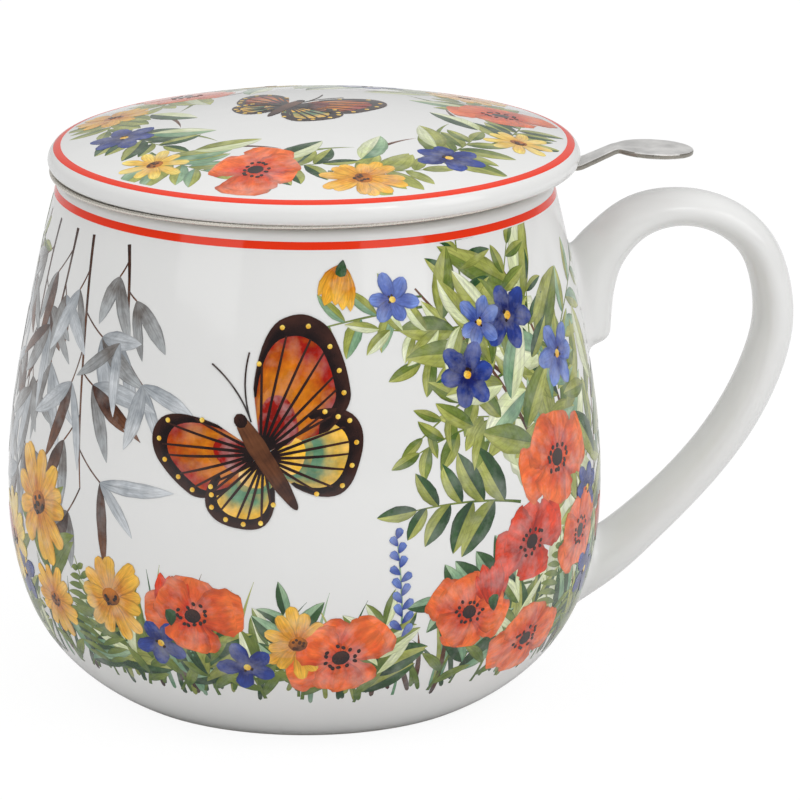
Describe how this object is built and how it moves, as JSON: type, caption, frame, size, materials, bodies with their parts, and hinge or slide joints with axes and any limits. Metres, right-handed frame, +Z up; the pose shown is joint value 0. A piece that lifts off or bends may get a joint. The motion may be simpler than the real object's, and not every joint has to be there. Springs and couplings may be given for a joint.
{
  "type": "lidded tea mug with infuser",
  "caption": "Bellied porcelain mug with a looped handle, a perforated steel infuser basket that hangs from its rim by a flange with a finger tab, and a domed lift-off lid.",
  "frame": {"origin": "centre of the foot ring, on the surface that the mug stands on", "axes": "+Z up along the mug's axis, +X towards the handle"},
  "size_m": [0.1292, 0.0966, 0.0955],
  "materials": {
    "porcelain": "clear gloss glaze over white porcelain",
    "steel": "satin stainless sheet"
  },
  "bodies": {
    "mug": {"mug_body": "porcelain", "mug_handle": "porcelain"},
    "infuser": {"infuser_flange": "steel", "infuser_wall": "steel", "infuser_floor": "steel", "infuser_hoop": "steel", "infuser_tab": "steel"},
    "lid": {"lid": "porcelain"}
  },
  "joints": [
    {"name": "infuser_lift", "type": "slide", "parent": "mug", "child": "infuser", "axis": [0, 0, 1], "range_m": [0, 0.075]},
    {"name": "lid_lift", "type": "slide", "parent": "infuser", "child": "lid", "axis": [0, 0, 1], "range_m": [0, 0.04]}
  ]
}
